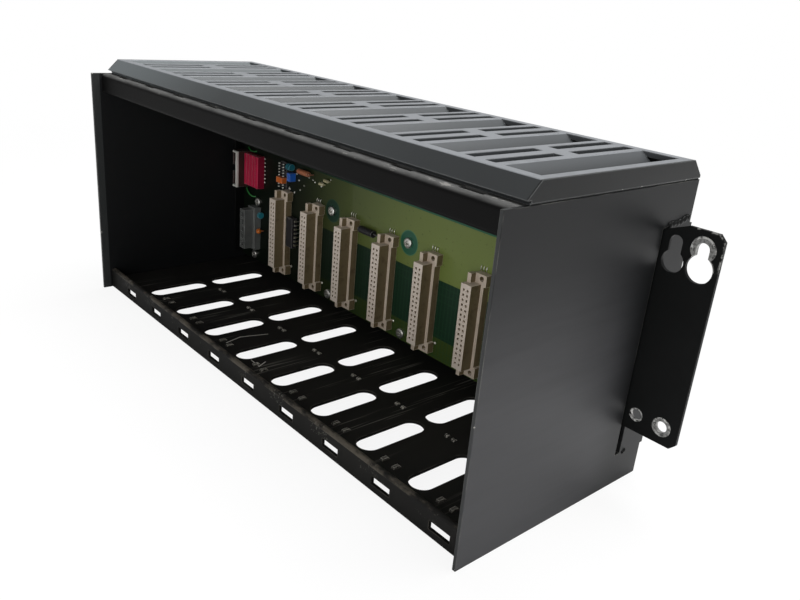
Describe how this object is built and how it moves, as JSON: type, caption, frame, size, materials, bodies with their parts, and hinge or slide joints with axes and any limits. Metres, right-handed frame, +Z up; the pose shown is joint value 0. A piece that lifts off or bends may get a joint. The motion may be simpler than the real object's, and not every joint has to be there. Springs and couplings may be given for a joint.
{
  "type": "subrack card cage",
  "caption": "Folded steel card cage, open at the front, with a backplane of card connectors, a louvred top cover and two keyhole mounting ears.",
  "frame": {"origin": "middle of the cage's width and depth, on the face that it stands on", "axes": "+X to the right as seen from the open front, +Y from the open front to the rear panel, +Z up"},
  "size_m": [0.3594, 0.1112, 0.1366],
  "materials": {
    "painted_steel": "satin",
    "black_plastic": "satin",
    "bare_steel": "brushed",
    "circuit_board": "gloss",
    "connector_plastic": "matte",
    "dark_plastic": "matte",
    "light_plastic": "matte",
    "red_plastic": "gloss",
    "grey_plastic": "matte",
    "tinned_metal": "polished",
    "orange_plastic": "matte",
    "blue_plastic": "gloss",
    "teal_ceramic": "gloss",
    "brown_ceramic": "matte",
    "tan_ceramic": "matte"
  },
  "bodies": {
    "root": {"left_side_panel": "painted_steel", "right_side_panel": "painted_steel", "floor_plate": "painted_steel", "top_plate": "painted_steel", "rear_panel": "painted_steel", "left_ear_bracket": "painted_steel", "right_ear_bracket": "painted_steel", "louvre_cover": "black_plastic", "cover_screws": "bare_steel", "backplane_board": "circuit_board", "board_spacers": "bare_steel", "board_screws": "bare_steel", "card_connector_1": "connector_plastic", "card_connector_2": "connector_plastic", "card_connector_3": "connector_plastic", "card_connector_4": "connector_plastic", "card_connector_5": "connector_plastic", "card_connector_6": "connector_plastic", "card_connector_7": "connector_plastic", "card_connector_8": "connector_plastic", "ribbon_header": "dark_plastic", "header_latch": "light_plastic", "ribbed_block": "red_plastic", "power_connector": "grey_plastic", "header_base": "dark_plastic", "header_pins": "tinned_metal", "jumper_cap": "orange_plastic", "logic_chip": "dark_plastic", "chip_legs": "tinned_metal", "box_capacitor": "blue_plastic", "disc_capacitors": "teal_ceramic", "bead_capacitor": "orange_plastic", "power_resistor": "brown_ceramic", "rectifier": "dark_plastic", "small_resistors": "tan_ceramic"}
  },
  "joints": []
}
